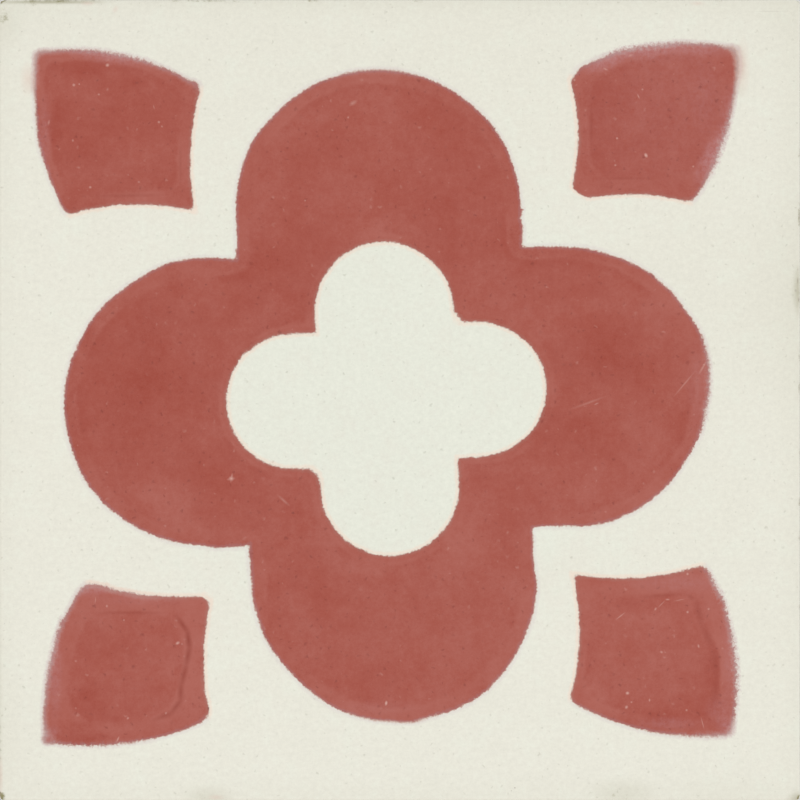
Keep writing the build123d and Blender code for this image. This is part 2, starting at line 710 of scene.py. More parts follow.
@dataclass(frozen=True)
class FaceFinish:
    """The inlaid face: its fields, their edges and everything that marks them."""

    flower: Flower = Flower()
    patches: tuple[CornerPatch, ...] = (
        CornerPatch(
            ((-37.12, 35.55), (-20.43, 32.03), (-21.1, 19.44), (-34.06, 19.02)),
            (1.55, -0.69, -0.88, 1.36),
            (1.0, 1.2, 1.3, 0.9),
            1.1,
        ),
        CornerPatch(
            ((34.4, 35.91), (29.92, 20.25), (17.42, 20.36), (17.36, 33.4)),
            (1.27, -0.88, -0.96, 1.6),
            (1.2, 1.5, 1.2, 1.1),
            1.7,
        ),
        CornerPatch(
            ((33.8, -34.2), (17.5, -30.74), (17.81, -17.87), (31.14, -16.88)),
            (1.3, -0.8, -0.84, 1.71),
            (1.2, 0.9, 1.7, 1.6),
            1.2,
        ),
        CornerPatch(
            ((-36.15, -34.87), (-32.12, -18.55), (-19.29, -19.98), (-19.49, -32.54)),
            (1.52, -0.76, -0.74, 1.31),
            (2.0, 1.6, 2.0, 2.3),
            2.0,
        ),
    )
    deep_red: Colour = pigment(169.0, 89.6, 77.6)
    rim_red: Colour = pigment(177.5, 104.5, 93.0)
    pale_red: Colour = pigment(178.8, 106.5, 95.5)
    dark_red: Colour = pigment(158.6, 73.5, 60.8)
    # Dark red of the fold lines, partly painted shade of their ridges.
    fold_red_and_shade: Colour = pigment(146, 68, 56)
    speck_red: Colour = pigment(118, 54, 46)
    mauve: Colour = pigment(190, 138, 139)
    haze: Colour = pigment(197, 166, 161)
    peach: Colour = pigment(248, 207, 186)
    blush: Colour = pigment(219, 205, 205)
    rose: Colour = pigment(222, 192, 178)
    warm_grey: Colour = pigment(163, 128, 118)
    cool_grey: Colour = pigment(155, 134, 142)
    lime: Colour = pigment(230, 190, 178)
    char: Colour = pigment(92, 46, 40)
    olive: Colour = pigment(126, 119, 62)
    # Painted highlight on the rounded edge.
    arris_highlight: Colour = pigment(247, 245, 232)
    edge_softness: float = 0.13
    edge_growth: float = 0.08
    fray: Clouds = Clouds(0.36, 2.0, 0.8)
    fray_reach: float = 0.34
    waver: Clouds = Clouds(1.5, 1.0, 0.5)
    waver_reach: float = 0.17
    crept_notches: tuple = (((319, 472), 6.0, 3.2), ((454, 321), 5.5, 2.4))
    crept_core: float = 3.0
    crisp_ease: float = 0.15
    pool_ease: float = 4.0
    drift: Clouds = Clouds(5.0, 3.0, 0.7)
    presence: Clouds = Clouds(8.0, 2.0, 0.6)
    presence_rise: Span = (-0.12, 0.12)
    grain: Clouds = Clouds(12.0, 7.4, 0.97)
    grain_swing: float = 3.1
    streaks: Clouds = Clouds(0.6, 3.0, 0.85)
    streak_swing: float = 2.4
    streak_level: float = 0.75
    rim_rise: Span = (-0.5, 0.25)
    rim_least: float = 0.16
    rim_gain: float = 0.6
    rim_swing: float = 0.2
    # The dark line and pale band at the pool's edge: partly the cement's own colour, partly painted shade and
    # painted highlight of the rim's low ridge.
    settled_shade_rise: Span = (-1.0, -0.15)
    settled_shade_fall: Span = (-0.15, 0.1)
    settled_shade_share: float = 0.3
    crest_highlight_place: float = 0.25
    crest_highlight_width: float = 0.2
    crest_highlight_share: float = 0.2
    specks: Specks = Specks(1.0, 0.14, 0.19)
    speck_bend: Span = (0.4, 0.35)
    pale_speck_strength: float = 0.17
    dark_speck_draw: float = 0.35
    dark_speck_strength: float = 0.46
    green_fall: Span = (12.0, 34.0)
    green_middle: float = 0.95
    # Darker towards the tile's edges: partly dirt, partly painted shade.
    dinge_width: float = 3.0
    dinge_share: float = 0.03
    # How wide and how strong the painted highlight along the rounded edge is.
    arris_light_width: float = 0.25
    arris_light_least: float = 0.3
    arris_light_more: float = 0.45
    dirt: Clouds = Clouds(0.7, 3.0, 0.8)
    dirt_swing: float = 0.9
    dirt_rise: Span = (0.18, 0.75)
    dirt_share: float = 0.85
    dirt_edge: float = 0.12
    facing_turn: Span = (-0.4, 0.4)
    haze_rise: Span = (-0.7, -0.1)
    haze_fall: Span = (0.05, 0.5)
    line_place: float = 0.17
    line_width: float = 0.2
    line_strength: float = 0.22
    glow_fall: Span = (0.15, 0.5)
    glow_strength: float = 0.36
    dullness_swing: float = 0.25
    dullness: float = 0.62
    relief_depth: float = 0.02
    relief_strength: float = 0.6

    def material(self, effects: Effects, coats: dict[Mark, list[str]]) -> bpy.types.Material:
        """Builds the face's material.

        Args:
            effects: The shared node groups.
            coats: The painted layers that hold the small marks, for each kind.

        Returns:
            The material.
        """
        material, graph, shader = new_material("inlaid_face")
        point = graph.vector("MULTIPLY", graph.object_point(), (1.0, 1.0, 0.0))
        outline, pool, facing = self.fields(graph, effects, point)
        outline = self.frayed(graph, point, outline)
        red = self.red_field(graph, effects, point, pool)
        ground = self.ground(graph, effects, point)
        softness = graph.math("ADD", graph.layer(Layer.BLEED.value), self.edge_softness)
        inner = graph.math("MULTIPLY", softness, -1.0)
        share = graph.ramp(outline, inner, softness, 1.0, 0.0)
        colour = graph.blend(share, ground["Color"], red)
        colour = self.fringe(graph, outline, facing, colour)
        colour = self.marks(graph, coats, colour)
        graph.feed(shader["Base Color"], colour)
        wear = graph.noise(point, self.drift)
        wear = graph.math("MULTIPLY_ADD", wear, self.dullness_swing, self.dullness)
        graph.feed(shader["Roughness"], wear)
        graph.feed(shader["Normal"], graph.relief(ground["Height"], self.relief_depth, self.relief_strength))
        return material

    def fields(self, graph: Graph, effects: Effects, point: Source) -> tuple:
        """Lays out the flower and the four patches.

        Args:
            graph: The material's graph.
            effects: The shared node groups.
            point: The place on the face.

        Returns:
            The distance to the nearest outline, the same to the pool inside its rim, and whether the near
            side faces outwards (above 0) or the tile's middle.
        """
        flower, ease = self.flower, self.eye_ease(graph, point)
        slots = (flower.side_lobes, flower.upright_lobes, flower.eye_side_lobes, flower.eye_upright_lobes)
        away = [effects.slot.place(graph, {"Point": point, **slot.inputs()})[0] for slot in slots]
        lobes = graph.math("SMOOTH_MIN", away[0], away[1], flower.notch_ease)
        eye = graph.math("SMOOTH_MIN", away[2], away[3], ease)
        outside_eye = graph.math("MULTIPLY", eye, -1.0)
        outline = graph.math("MAXIMUM", lobes, outside_eye)
        lobe_pool = graph.math("SMOOTH_MIN", away[0], away[1], self.pool_ease)
        lobe_pool = graph.math("ADD", lobe_pool, flower.outer_rim)
        pool = graph.math("MAXIMUM", lobe_pool, graph.math("ADD", outside_eye, flower.eye_rim))
        facing = graph.math("SUBTRACT", lobes, outside_eye)
        for patch in self.patches:
            near = effects.patch.place(graph, {"Point": point, **patch.inputs()})
            nearer = graph.math("LESS_THAN", near["Outline"], outline)
            pool = graph.choose(nearer, pool, near["Pool"])
            facing = graph.choose(nearer, facing, near["Facing"])
            outline = graph.math("MINIMUM", outline, near["Outline"])
        return outline, pool, facing

    def eye_ease(self, graph: Graph, point: Source) -> bpy.types.NodeSocket:
        """Softens the eye's two notches where the red cement crept round the divider.

        Args:
            graph: The material's graph.
            point: The place on the face.

        Returns:
            How wide the notches are eased, in millimetres.
        """
        eases = []
        for pixel, reach, ease in self.crept_notches:
            away = graph.vector("DISTANCE", point, (*photo_place(*pixel), 0.0))
            eases.append(graph.ramp(away, self.crept_core, reach, ease, self.crisp_ease))
        return graph.math("MAXIMUM", *eases)

    def frayed(self, graph: Graph, point: Source, outline: Source) -> bpy.types.NodeSocket:
        """Roughens an outline as the wet cements left it.

        Args:
            graph: The material's graph.
            point: The place on the face.
            outline: The true outline's distance.

        Returns:
            The ragged outline's distance.
        """
        reach = graph.math("ADD", graph.layer(Layer.FRAY.value), self.fray_reach)
        outline = graph.math("MULTIPLY_ADD", graph.noise(point, self.fray), reach, outline)
        growth = graph.math("ADD", graph.layer(Layer.CREEP.value), self.edge_growth)
        outline = graph.math("SUBTRACT", outline, growth)
        return graph.math("MULTIPLY_ADD", graph.noise(point, self.waver), self.waver_reach, outline)

    def red_field(self, graph: Graph, effects: Effects, point: Source, pool: Source) -> Source:
        """Colours the red cement: a deeper pool inside a paler rim, with a thin dark line between them and a
        pale band beside it; the line and the band are partly the cement's own colour and partly painted shade
        and painted highlight of the rim's low ridge.

        Args:
            graph: The material's graph.
            effects: The shared node groups.
            point: The place on the face.
            pool: The distance to the pool's edge.

        Returns:
            The colour's socket.
        """
        edge = graph.math("ADD", graph.noise(point, self.drift), pool)
        presence = graph.ramp(graph.noise(point, self.presence), *self.presence_rise)
        rim_share = graph.math("MULTIPLY_ADD", graph.layer(Layer.RIM.value), self.rim_gain, self.rim_least)
        rim_share = graph.math("MULTIPLY_ADD", presence, self.rim_swing, rim_share)
        rim = graph.math("MULTIPLY", graph.ramp(edge, *self.rim_rise), rim_share)
        colour = graph.blend(rim, self.deep_red, self.rim_red)
        # Dark line at the pool's edge: partly the cement's own colour, partly painted shade of the rim's low
        # ridge.
        settled_and_shade = graph.band(edge, self.settled_shade_rise, self.settled_shade_fall)
        settled_and_shade = graph.math("MULTIPLY", settled_and_shade, graph.math("MULTIPLY", presence, self.settled_shade_share))
        colour = graph.blend(settled_and_shade, colour, self.dark_red)
        # Pale band just outside it: partly the cement's own colour, partly a painted highlight on the ridge.
        crest_and_highlight = graph.math("ABSOLUTE", graph.math("SUBTRACT", edge, self.crest_highlight_place))
        crest_and_highlight = graph.math("MULTIPLY", graph.ramp(crest_and_highlight, 0.0, self.crest_highlight_width, 1.0, 0.0), presence)
        crest_and_highlight = graph.math("MULTIPLY", crest_and_highlight, self.crest_highlight_share)
        colour = graph.blend(crest_and_highlight, colour, self.pale_red)
        grain = graph.noise(point, self.grain)
        tone = graph.math("MULTIPLY_ADD", grain, self.grain_swing, graph.layer(Layer.TONE.value))
        colour = graph.blend(graph.math("MULTIPLY", tone, 1.0, clamp=True), colour, self.pale_red)
        colour = graph.blend(graph.math("MULTIPLY", tone, -1.0, clamp=True), colour, self.dark_red)
        streaks = graph.noise(point, self.streaks)
        bloom = graph.math("MULTIPLY_ADD", streaks, self.streak_swing, self.streak_level)
        bloom = graph.math("MULTIPLY", bloom, graph.layer(Layer.BLOOM.value), clamp=True)
        colour = graph.blend(bloom, colour, self.mauve)
        bent = graph.bend(point, *self.speck_bend)
        specks = effects.flat_specks.place(graph, self.specks.inputs(bent))
        chance = graph.math("MULTIPLY", specks["Chance"], self.pale_speck_strength)
        colour = graph.blend(graph.math("MULTIPLY", specks["Mask"], chance), colour, self.lime)
        dark = graph.math("GREATER_THAN", specks["Draw"], self.dark_speck_draw)
        dark = graph.math("MULTIPLY", specks["Disc"], dark)
        chance = graph.math("MULTIPLY", specks["Chance"], self.dark_speck_strength)
        return graph.blend(graph.math("MULTIPLY", dark, chance), colour, self.speck_red)

    def ground(self, graph: Graph, effects: Effects, point: Source) -> dict:
        """Colours the off-white ground, a little darker towards the tile's edges, partly dirt and partly
        painted shade, with a painted highlight along its rounded edge.

        Args:
            graph: The material's graph.
            effects: The shared node groups.
            point: The place on the face.

        Returns:
            The colour's and the height's sockets by name.
        """
        away = graph.vector("DISTANCE", point, (*self.flower.side_lobes.middle, 0.0))
        greenness = graph.ramp(away, *self.green_fall, self.green_middle, 0.0)
        cream = effects.cream.place(graph, {"Point": point, "Greenness": greenness})
        parts = graph.node("ShaderNodeSeparateXYZ", {0: point}).outputs
        sides = [graph.math("ABSOLUTE", parts[i]) for i in range(2)]
        inside = graph.math("SUBTRACT", FACE_WIDTH / 2, graph.math("MAXIMUM", *sides))
        # Darker towards the tile's edges and in the painted spots: partly dirt, partly painted shade.
        dinge = graph.ramp(inside, 0.0, self.dinge_width, self.dinge_share, 0.0)
        dinge = graph.math("ADD", dinge, graph.layer(Layer.DARKENING.value))
        colour = graph.blend(dinge, cream["Color"], self.olive)
        # Painted highlight along the rounded edge, to lift the shade that falls on it; stronger on the right
        # and top sides.
        wear_and_arris_light = graph.math("GREATER_THAN", graph.math("ADD", parts[0], parts[1]), 0.0)
        wear_and_arris_light = graph.math("MULTIPLY_ADD", wear_and_arris_light, self.arris_light_more, self.arris_light_least)
        arris = graph.math("MULTIPLY", wear_and_arris_light, graph.ramp(inside, 0.0, self.arris_light_width, 1.0, 0.0))
        colour = graph.blend(arris, colour, self.arris_highlight)
        grime = graph.layer(Layer.GRIME.value)
        dirt = graph.math("MULTIPLY_ADD", graph.noise(point, self.dirt), self.dirt_swing, grime)
        dirt = graph.ramp(dirt, *self.dirt_rise, 0.0, self.dirt_share)
        near_stain = graph.ramp(grime, 0.0, self.dirt_edge)
        colour = graph.blend(graph.math("MULTIPLY", dirt, near_stain), colour, self.olive)
        return {"Color": colour, "Height": cream["Height"]}

    def fringe(self, graph: Graph, outline: Source, facing: Source, colour: Source) -> Source:
        """Adds the cast along the red's edges: a grey line inside, haze where it bled, and a blush outside.

        Args:
            graph: The material's graph.
            outline: The ragged outline's distance.
            facing: Whether the near edge faces outwards (above 0) or the tile's middle.
            colour: The face's colour so far.

        Returns:
            The colour's socket.
        """
        outward = graph.ramp(facing, *self.facing_turn)
        haze = graph.band(outline, self.haze_rise, self.haze_fall)
        haze = graph.math("MULTIPLY", haze, graph.layer(Layer.CAST.value), clamp=True)
        colour = graph.blend(haze, colour, self.haze)
        line = graph.math("ABSOLUTE", graph.math("ADD", outline, self.line_place))
        line = graph.ramp(line, 0.0, self.line_width, self.line_strength, 0.0)
        colour = graph.blend(line, colour, graph.blend(outward, self.warm_grey, self.cool_grey))
        glow = graph.ramp(outline, *self.glow_fall, self.glow_strength, 0.0)
        glow = graph.math("MULTIPLY", graph.ramp(outline, 0.0, self.glow_fall[0]), glow)
        return graph.blend(glow, colour, graph.blend(outward, self.peach, self.blush))

    def marks(self, graph: Graph, coats: dict[Mark, list[str]], colour: Source) -> Source:
        """Adds the flecks and scratches, each strongest at its middle and gone at its rim.

        Args:
            graph: The material's graph.
            coats: The painted layers that hold the small marks, for each kind.
            colour: The face's colour so far.

        Returns:
            The colour's socket.
        """
        masks = {}
        for mark, names in coats.items():
            masks[mark] = 0.0
            for name in names:
                painted = graph.node("ShaderNodeAttribute", attribute_name=name).outputs["Vector"]
                strength = graph.node("ShaderNodeSeparateXYZ", {0: painted}).outputs["Z"]
                away = graph.vector("LENGTH", graph.vector("MULTIPLY", painted, (1.0, 1.0, 0.0)))
                mask = graph.math("MULTIPLY", graph.math("SUBTRACT", 1.0, away), strength)
                masks[mark] = graph.math("MAXIMUM", masks[mark], mask)
        colour = graph.blend(masks[Mark.ROSE], colour, self.rose)
        # Fold lines: partly the cement's own colour, partly painted shade of the folds' ridges.
        colour = graph.blend(masks[Mark.SEAM], colour, self.fold_red_and_shade)
        colour = graph.blend(masks[Mark.LIME], colour, self.lime)
        return graph.blend(masks[Mark.CHAR], colour, self.char)


@dataclass(frozen=True)
class MortarFinish:
    """The grey backing mortar: sand grains, pits and smears of the pale coat's slurry."""

    paste: Colour = pigment(158, 153, 141)
    damp: Colour = pigment(128, 123, 112)
    sand: Colour = pigment(196, 188, 168)
    # Dark grit, and the painted shade in the pits.
    grit_and_pit_shade: Colour = pigment(92, 88, 82)
    chalk: Colour = pigment(205, 201, 188)
    clouds: Clouds = Clouds(14.0, 4.0, 0.6)
    damp_rise: Span = (-0.2, 0.22)
    fine: Clouds = Clouds(0.7, 3.0, 0.8)
    sand_rise: Span = (-0.02, 0.3)
    sand_share: float = 0.5
    smear: Clouds = Clouds(6.0, 3.0, 0.65)
    chalk_rise: Span = (0.08, 0.3)
    chalk_share: float = 0.55
    grains: Specks = Specks(0.9, 0.45, 0.3)
    dark_grain_rise: Span = (0.45, 0.55)
    grain_share: float = 0.7
    # Pits, which are painted darker as well as sunk: painted shade in the hollows.
    pits: Specks = Specks(2.3, 0.5, 0.55)
    pit_shade_share: float = 0.75
    fine_height: float = 0.8
    grain_height: float = 0.25
    line_waver: Clouds = Clouds(7.0, 2.0, 0.5)
    line_waver_reach: float = 2.2
    line_fray: Clouds = Clouds(0.8, 2.0, 0.7)
    line_fray_reach: float = 0.7
    line_softness: float = 0.12
    coat_greenness: float = 0.15
    rub: Clouds = Clouds(3.0, 4.0, 0.75)
    rub_rise: Span = (0.0, 0.3)
    rub_shares: Span = (0.05, 0.5)
    dullness_swing: float = 0.12
    dullness: float = 0.82
    relief_depth: float = 0.12
    relief_strength: float = 0.8

    def surface(self, graph: Graph, effects: Effects, point: Source) -> tuple:
        """Colours the mortar.

        Args:
            graph: The graph that it goes into.
            effects: The shared node groups.
            point: The place in millimetres.

        Returns:
            The colour's and the height's sockets.
        """
        clouds = graph.noise(point, self.clouds, flat=False)
        colour = graph.blend(graph.ramp(clouds, *self.damp_rise), self.paste, self.damp)
        fine = graph.noise(point, self.fine, flat=False)
        colour = graph.blend(graph.ramp(fine, *self.sand_rise, 0.0, self.sand_share), colour, self.sand)
        smear = graph.noise(point, self.smear, flat=False)
        smear = graph.ramp(smear, *self.chalk_rise, 0.0, self.chalk_share)
        colour = graph.blend(smear, colour, self.chalk)
        grains = effects.deep_specks.place(graph, self.grains.inputs(point))
        kind = graph.blend(graph.ramp(grains["Chance"], *self.dark_grain_rise), self.sand, self.grit_and_pit_shade)
        colour = graph.blend(graph.math("MULTIPLY", grains["Mask"], self.grain_share), colour, kind)
        # The pits are painted darker: painted shade in the hollows that the relief sinks.
        pits = effects.deep_specks.place(graph, self.pits.inputs(point))["Mask"]
        colour = graph.blend(graph.math("MULTIPLY", pits, self.pit_shade_share), colour, self.grit_and_pit_shade)
        height = graph.math("MULTIPLY", grains["Mask"], self.grain_height)
        height = graph.math("MULTIPLY_ADD", fine, self.fine_height, height)
        return colour, graph.math("SUBTRACT", height, pits)

    def flank_material(self, effects: Effects, coat_base: float) -> bpy.types.Material:
        """Builds the flanks' material: the coat's band over the mortar.

        Args:
            effects: The shared node groups.
            coat_base: The coat's underside, above the tile's.

        Returns:
            The material.
        """
        material, graph, shader = new_material("pressed_flank")
        point = graph.object_point()
        mortar, mortar_height = self.surface(graph, effects, point)
        cream = effects.cream.place(graph, {"Point": point, "Greenness": self.coat_greenness})
        height = graph.node("ShaderNodeSeparateXYZ", {0: point}).outputs["Z"]
        wavy = graph.noise(point, self.line_waver, flat=False)
        torn = graph.noise(point, self.line_fray, flat=False)
        line = graph.math("MULTIPLY_ADD", torn, self.line_fray_reach, height)
        line = graph.math("MULTIPLY_ADD", wavy, self.line_waver_reach, line)
        coated = graph.ramp(line, coat_base - self.line_softness, coat_base + self.line_softness)
        wear_and_arris_light = graph.noise(point, self.rub, flat=False)
        wear_and_arris_light = graph.ramp(wear_and_arris_light, *self.rub_rise, *self.rub_shares)
        dingy = graph.blend(wear_and_arris_light, cream["Color"], self.paste)
        colour = graph.blend(coated, mortar, dingy)
        relief = graph.choose(coated, mortar_height, cream["Height"])
        self.finish(graph, shader, colour, relief)
        return material

    def bed_material(self, effects: Effects) -> bpy.types.Material:
        """Builds the underside's material.

        Args:
            effects: The shared node groups.

        Returns:
            The material.
        """
        material, graph, shader = new_material("mortar_bed")
        colour, relief = self.surface(graph, effects, graph.object_point())
        self.finish(graph, shader, colour, relief)
        return material

    def finish(
        self, graph: Graph, shader: bpy.types.bpy_prop_collection, colour: Source, height: Source
    ) -> None:
        """Feeds a mortar material's shader.

        Args:
            graph: The material's graph.
            shader: The shader's inputs.
            colour: The material's colour.
            height: Its height.
        """
        graph.feed(shader["Base Color"], colour)
        dullness = graph.math("MULTIPLY_ADD", height, self.dullness_swing, self.dullness)
        graph.feed(shader["Roughness"], dullness)
        graph.feed(shader["Normal"], graph.relief(height, self.relief_depth, self.relief_strength))


class Finish(Enum):
    """The finishes that the tile's mesh carries, as its material slots."""

    FACE = 0
    FLANK = 1
    BED = 2


@dataclass
class PressedTile:
    """The tile itself: a fine face sheet, a rounded arris, leaning flanks and the keyed underside."""

    side: float
    thickness: float
    coat_thickness: float = 3.5
    flank_lean: float = 0.4
    corner_radius: float = 0.45
    arris_radius: float = 0.25
    face_lines: int = 236
    line_crowding: float = 0.3
    cell_reach: float = 0.36
    arris_steps: int = 5
    flank_levels: tuple[float, ...] = (15.2, 14.3, 13.3, 12.4, 11.0, 9.2, 7.0, 4.8, 2.8, 1.2, 0.45)
    foot_wear: float = 0.3
    groove_pitch: float = 9.5
    groove_width: float = 3.0
    groove_depth: float = 1.0
    groove_draft: float = 30.0
    grooves: int = 7
    face_relief: float = 0.045
    face_dents: tuple[tuple[float, float, float], ...] = ((0.09, 0.75, 3.0), (0.6, 0.25, 7.0))
    grime_depth: float = 0.15
    mortar_dents: float = 0.09
    coat_dents: float = 0.04
    dent_pitch: float = 0.55
    smooth_angle: float = 38.0

    @property
    def half_flat(self) -> float:
        """Half the width of the flat face inside the arris."""
        return self.side / 2 - self.arris_radius

    @property
    def corner_post(self) -> float:
        """How far the corner's own centre lies from the tile's middle, along each edge."""
        return self.side / 2 - self.corner_radius

    def build(self, effects: Effects) -> bpy.types.Object:
        """Makes the tile's object and dresses it.

        Args:
            effects: The shared node groups.

        Returns:
            The object.
        """
        bm = bmesh.new()
        rim = self.lay_face(bm)
        rim = self.round_arris(bm, rim)
        rim = self.drop_flanks(bm, rim)
        self.key_underside(bm, rim)
        self.wear_face(bm, face_stains())
        coats = self.mark_face(bm, face_flecks())
        bmesh.ops.recalc_face_normals(bm, faces=bm.faces)
        self.unfold(bm)
        bmesh.ops.scale(bm, vec=(MM, MM, MM), verts=bm.verts)
        open_edges = sum(not edge.is_manifold for edge in bm.edges)
        LOG.info("pressed_tile: %d faces, %d open edges", len(bm.faces), open_edges)
        mesh = bpy.data.meshes.new("pressed_tile")
        bm.to_mesh(mesh)
        bm.free()
        mesh.set_sharp_from_angle(angle=math.radians(self.smooth_angle))
        tile = new_object("pressed_tile", mesh)
        mortar = MortarFinish()
        coat_base = self.thickness - self.coat_thickness
        mesh.materials.append(FaceFinish().material(effects, coats))
        mesh.materials.append(mortar.flank_material(effects, coat_base))
        mesh.materials.append(mortar.bed_material(effects))
        return tile

    def outward(self, place: Vector) -> tuple[Vector, Vector]:
        """Finds where a rim point hangs from and the way that it faces.

        Args:
            place: The point.

        Returns:
            The nearest point of the square through the corners' centres, and the direction away from it.
        """
        post = self.corner_post
        anchor = Vector((max(-post, min(post, place.x)), max(-post, min(post, place.y)), 0.0))
        away = Vector((place.x, place.y, 0.0)) - anchor
        return anchor, away.normalized()

    def lay_face(self, bm: bmesh.types.BMesh) -> list:
        """Lays the face sheet, with its lines closer together towards the edges.

        Args:
            bm: The mesh.

        Returns:
            The edges of its rim.
        """
        half, crowding = self.half_flat, self.line_crowding
        bmesh.ops.create_grid(bm, x_segments=self.face_lines, y_segments=self.face_lines, size=half)
        for vert in bm.verts:
            for axis in (0, 1):
                share = vert.co[axis] / half
                vert.co[axis] = half * (share + crowding * math.sin(math.pi * share) / math.pi)
            vert.co.z = self.thickness
        rim = [edge for edge in bm.edges if edge.is_boundary]
        flat_corner = self.corner_radius - self.arris_radius
        for vert in {vert for edge in rim for vert in edge.verts}:
            anchor, away = self.outward(vert.co)
            place = anchor + away * flat_corner
            vert.co = (place.x, place.y, self.thickness)
        for face in bm.faces:
            face.material_index = Finish.FACE.value
            face.smooth = True
        return rim

    def step_out(self, bm: bmesh.types.BMesh, rim: list, radius: float, level: float, finish: Finish) -> list:
        """Extrudes a rim to its next ring.

        Args:
            bm: The mesh.
            rim: The rim's edges.
            radius: The new ring's corner radius about the corners' centres.
            level: Its height.
            finish: The new faces' finish.

        Returns:
            The new rim's edges.
        """
        made = bmesh.ops.extrude_edge_only(bm, edges=rim)["geom"]
        for vert in (item for item in made if isinstance(item, bmesh.types.BMVert)):
            anchor, away = self.outward(vert.co)
            place = anchor + away * radius
            vert.co = (place.x, place.y, level)
        for face in (item for item in made if isinstance(item, bmesh.types.BMFace)):
            face.material_index = finish.value
            face.smooth = True
        return [item for item in made if isinstance(item, bmesh.types.BMEdge) and item.is_boundary]

    def hollow(self, place: Vector) -> float:
        """Reads a smooth noise of hollows, from 0 to 1."""
        return 0.5 + 0.5 * noise.noise(place)

    def flank_radius(self, level: float) -> float:
        """Works out a flank ring's corner radius from its height, because the flanks lean in."""
        return self.corner_radius - self.flank_lean * (self.thickness - level) / self.thickness

    def round_arris(self, bm: bmesh.types.BMesh, rim: list) -> list:
        """Rolls the face's edge over into the flanks.

        Args:
            bm: The mesh.
            rim: The face's rim.

        Returns:
            The arris's lower rim.
        """
        start = self.corner_radius - self.arris_radius
        end = self.flank_radius(self.thickness - self.arris_radius)
        for step in range(1, self.arris_steps + 1):
            angle = math.pi / 2 * step / self.arris_steps
            radius = start + (end - start) * math.sin(angle)
            level = self.thickness - self.arris_radius * (1 - math.cos(angle))
            rim = self.step_out(bm, rim, radius, level, Finish.FACE)
        return rim

    def drop_flanks(self, bm: bmesh.types.BMesh, rim: list) -> list:
        """Runs the flanks down to the underside, a little uneven, with a worn foot.

        Args:
            bm: The mesh.
            rim: The arris's lower rim.

        Returns:
            The foot's rim, on the ground.
        """
        for level in self.flank_levels:
            rim = self.step_out(bm, rim, self.flank_radius(level), level, Finish.FLANK)
            for vert in {vert for edge in rim for vert in edge.verts}:
                _, away = self.outward(vert.co)
                in_mortar = level < self.thickness - self.coat_thickness
                depth = self.mortar_dents if in_mortar else self.coat_dents
                vert.co -= away * depth * self.hollow(vert.co * self.dent_pitch)
        foot = self.flank_radius(0.0) - self.foot_wear
        return self.step_out(bm, rim, foot, 0.0, Finish.FLANK)

    def key_underside(self, bm: bmesh.types.BMesh, rim: list) -> None:
        """Closes the underside with a field of drafted pads between crossing grooves.

        Args:
            bm: The mesh.
            rim: The foot's rim.
        """
        cells = 2 * self.grooves - 1
        slope = self.groove_depth * math.tan(math.radians(self.groove_draft))
        half_floor = self.groove_width / 2 - slope
        reach = (self.grooves - 1) / 2 * self.groove_pitch
        made = bmesh.ops.create_grid(bm, x_segments=cells, y_segments=cells, size=reach)["verts"]
        for vert in made:
            for axis in (0, 1):
                line = round((vert.co[axis] / reach + 1) * cells / 2)
                groove = line // 2 * self.groove_pitch - reach
                vert.co[axis] = groove + (half_floor if line % 2 else -half_floor)
            vert.co.z = self.groove_depth
        faces = list({face for vert in made for face in vert.link_faces})
        bmesh.ops.reverse_faces(bm, faces=faces)
        outer = [edge for face in faces for edge in face.edges if edge.is_boundary]
        slack = 0.1
        wide = self.groove_pitch - 2 * half_floor - slack
        pads = [face for face in faces if min(edge.calc_length() for edge in face.edges) > wide]
        bmesh.ops.inset_individual(bm, faces=pads, thickness=slope, depth=self.groove_depth)
        mouth = bmesh.ops.extrude_edge_only(bm, edges=outer)["geom"]
        lip = [item for item in mouth if isinstance(item, bmesh.types.BMVert)]
        grow = (reach + half_floor + slope) / (reach + half_floor)
        bmesh.ops.scale(bm, vec=(grow, grow, 0.0), verts=lip)
        inner = [item for item in mouth if isinstance(item, bmesh.types.BMEdge) and item.is_boundary]
        bmesh.ops.triangle_fill(bm, edges=rim + inner, use_beauty=True, normal=(0.0, 0.0, -1.0))
        least_lying = 0.3
        for face in bm.faces:
            if face.calc_center_median().z <= self.groove_depth and abs(face.normal.z) > least_lying:
                face.material_index = Finish.BED.value
                face.smooth = False

    def wear_face(self, bm: bmesh.types.BMesh, stains: dict[Layer, list[Oval]]) -> None:
        """Paints the soft stains on the face's points, and gives it its faint hollows and its worn arris.

        Args:
            bm: The mesh.
            stains: The soft stains, for each layer.
        """
        layers = {layer: bm.verts.layers.float.new(layer.value) for layer in Layer}
        slack = 0.01
        lowest = self.thickness - self.arris_radius - slack
        worn = [vert for vert in bm.verts if vert.co.z >= lowest]
        rows: dict[int, list] = {}
        for vert in worn:
            rows.setdefault(round(vert.co.y), []).append(vert)
        for layer, ovals in stains.items():
            for oval in ovals:
                for vert in oval.near(rows):
                    vert[layers[layer]] += oval.share((vert.co.x, vert.co.y))
        for vert in worn:
            x, y, _ = vert.co
            dents = ((share, Vector((x, y, seat)) * pitch) for pitch, share, seat in self.face_dents)
            vert.co.z -= self.face_relief * sum(share * self.hollow(dent) for share, dent in dents)
            vert.co.z -= self.grime_depth * min(1.0, vert[layers[Layer.GRIME]])

